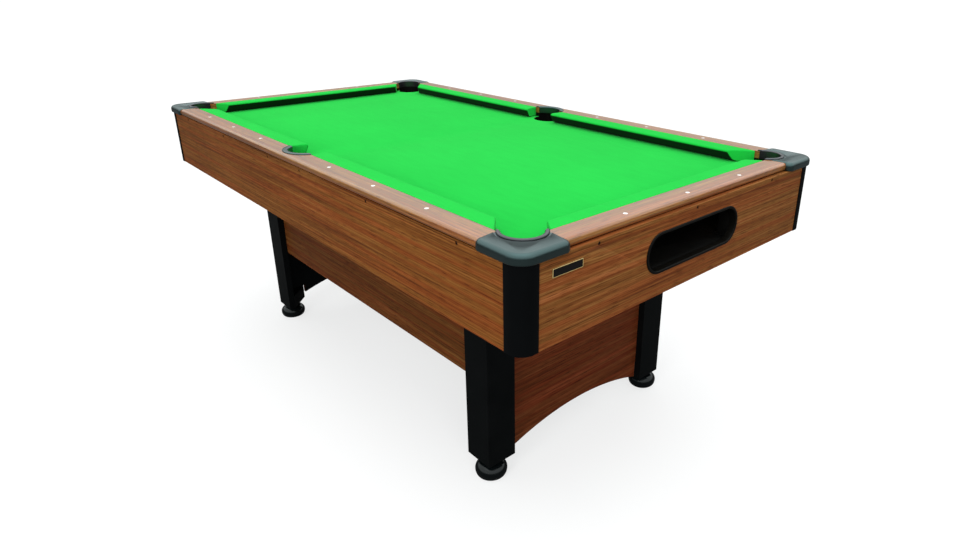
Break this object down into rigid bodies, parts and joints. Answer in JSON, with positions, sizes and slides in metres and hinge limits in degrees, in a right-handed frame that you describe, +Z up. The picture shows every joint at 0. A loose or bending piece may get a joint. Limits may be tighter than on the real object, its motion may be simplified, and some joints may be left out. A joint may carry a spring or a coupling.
{
  "type": "pool table",
  "caption": "Home pool table: cloth-covered bed and cushions in wood rails, pockets that drop balls to gullies and a return opening, panelled legs on screw-in levelling feet.",
  "frame": {"origin": "on the floor, under the centre of the table", "axes": "+X along the length towards the ball-return end, +Y towards the back long side, +Z up"},
  "size_m": [1.996, 1.095, 0.8198],
  "materials": {
    "frame_board": "bare fibreboard and plywood, sanded, unfinished",
    "cloth": "bright green napped billiard cloth, matte",
    "rail_wood": "light cherry foil over board, satin with soft reflections",
    "cap_plastic": "moulded grey plastic, satin",
    "black_plastic": "moulded black plastic, matt",
    "apron_wood": "warm cherry grain laminate, satin",
    "post_plastic": "black moulded corner post, semi-gloss",
    "leg_black": "black laminated board, satin",
    "panel_wood": "dark cherry grain laminate, satin",
    "rim_black": "moulded black plastic rim, semi-gloss",
    "plate_black": "black anodised blank plate with a thin gold border",
    "sight_white": "white inlaid dots, glossy",
    "screw_dark": "dark lacquered screws",
    "zinc_steel": "zinc-plated steel",
    "pad_black": "glossy black moulded foot"
  },
  "bodies": {
    "table": {"bed_board": "frame_board", "rail_blocking": "frame_board", "corner_blocks": "frame_board", "stretcher_front": "frame_board", "stretcher_back": "frame_board", "cross_beams": "frame_board", "leg_boards": "frame_board", "gully_cleats": "frame_board", "bed_cloth": "cloth", "cushion_front_return": "cloth", "cushion_back_return": "cloth", "cushion_front_far": "cloth", "cushion_back_far": "cloth", "cushion_return_end": "cloth", "cushion_far_end": "cloth", "rail_front": "rail_wood", "rail_back": "rail_wood", "rail_return_end": "rail_wood", "rail_far_end": "rail_wood", "corner_cap_front_return": "cap_plastic", "corner_cap_back_return": "cap_plastic", "corner_cap_front_far": "cap_plastic", "corner_cap_back_far": "cap_plastic", "side_lip_front": "cap_plastic", "side_lip_back": "cap_plastic", "pocket_cups": "black_plastic", "gully_front": "black_plastic", "gully_back": "black_plastic", "return_ramps": "black_plastic", "ball_box": "black_plastic", "apron_front": "apron_wood", "apron_back": "apron_wood", "apron_return_end": "apron_wood", "apron_far_end": "apron_wood", "corner_post_front_return": "post_plastic", "corner_post_back_return": "post_plastic", "corner_post_front_far": "post_plastic", "corner_post_back_far": "post_plastic", "leg_front_return": "leg_black", "leg_back_return": "leg_black", "leg_front_far": "leg_black", "leg_back_far": "leg_black", "leg_blocks": "leg_black", "side_panel_front": "panel_wood", "side_panel_back": "panel_wood", "end_panel_return": "panel_wood", "end_panel_far": "panel_wood", "return_rim": "rim_black", "name_plate": "plate_black", "sights": "sight_white", "apron_screws": "screw_dark", "foot_inserts": "zinc_steel"},
    "stud_front_return": {"stud_front_return": "zinc_steel"},
    "pad_front_return": {"pad_front_return": "pad_black"},
    "stud_back_return": {"stud_back_return": "zinc_steel"},
    "pad_back_return": {"pad_back_return": "pad_black"},
    "stud_front_far": {"stud_front_far": "zinc_steel"},
    "pad_front_far": {"pad_front_far": "pad_black"},
    "stud_back_far": {"stud_back_far": "zinc_steel"},
    "pad_back_far": {"pad_back_far": "pad_black"}
  },
  "joints": [
    {"name": "foot_travel_front_return", "type": "slide", "parent": "table", "child": "stud_front_return", "axis": [0, 0, -1], "range_m": [0, 0.015]},
    {"name": "foot_turn_front_return", "type": "hinge", "parent": "stud_front_return", "child": "pad_front_return", "pos_m": [0.6304, -0.3274, 0.02], "axis": [0, 0, -1], "range_deg": [0, 3600]},
    {"name": "foot_travel_back_return", "type": "slide", "parent": "table", "child": "stud_back_return", "axis": [0, 0, -1], "range_m": [0, 0.015]},
    {"name": "foot_turn_back_return", "type": "hinge", "parent": "stud_back_return", "child": "pad_back_return", "pos_m": [0.6304, 0.3274, 0.02], "axis": [0, 0, -1], "range_deg": [0, 3600]},
    {"name": "foot_travel_front_far", "type": "slide", "parent": "table", "child": "stud_front_far", "axis": [0, 0, -1], "range_m": [0, 0.015]},
    {"name": "foot_turn_front_far", "type": "hinge", "parent": "stud_front_far", "child": "pad_front_far", "pos_m": [-0.6304, -0.3274, 0.02], "axis": [0, 0, -1], "range_deg": [0, 3600]},
    {"name": "foot_travel_back_far", "type": "slide", "parent": "table", "child": "stud_back_far", "axis": [0, 0, -1], "range_m": [0, 0.015]},
    {"name": "foot_turn_back_far", "type": "hinge", "parent": "stud_back_far", "child": "pad_back_far", "pos_m": [-0.6304, 0.3274, 0.02], "axis": [0, 0, -1], "range_deg": [0, 3600]}
  ],
  "couplings": [
    {"joint": "foot_travel_front_return", "follows": "foot_turn_front_return", "m_per_rad": 0.00023873},
    {"joint": "foot_travel_back_return", "follows": "foot_turn_back_return", "m_per_rad": 0.00023873},
    {"joint": "foot_travel_front_far", "follows": "foot_turn_front_far", "m_per_rad": 0.00023873},
    {"joint": "foot_travel_back_far", "follows": "foot_turn_back_far", "m_per_rad": 0.00023873}
  ]
}
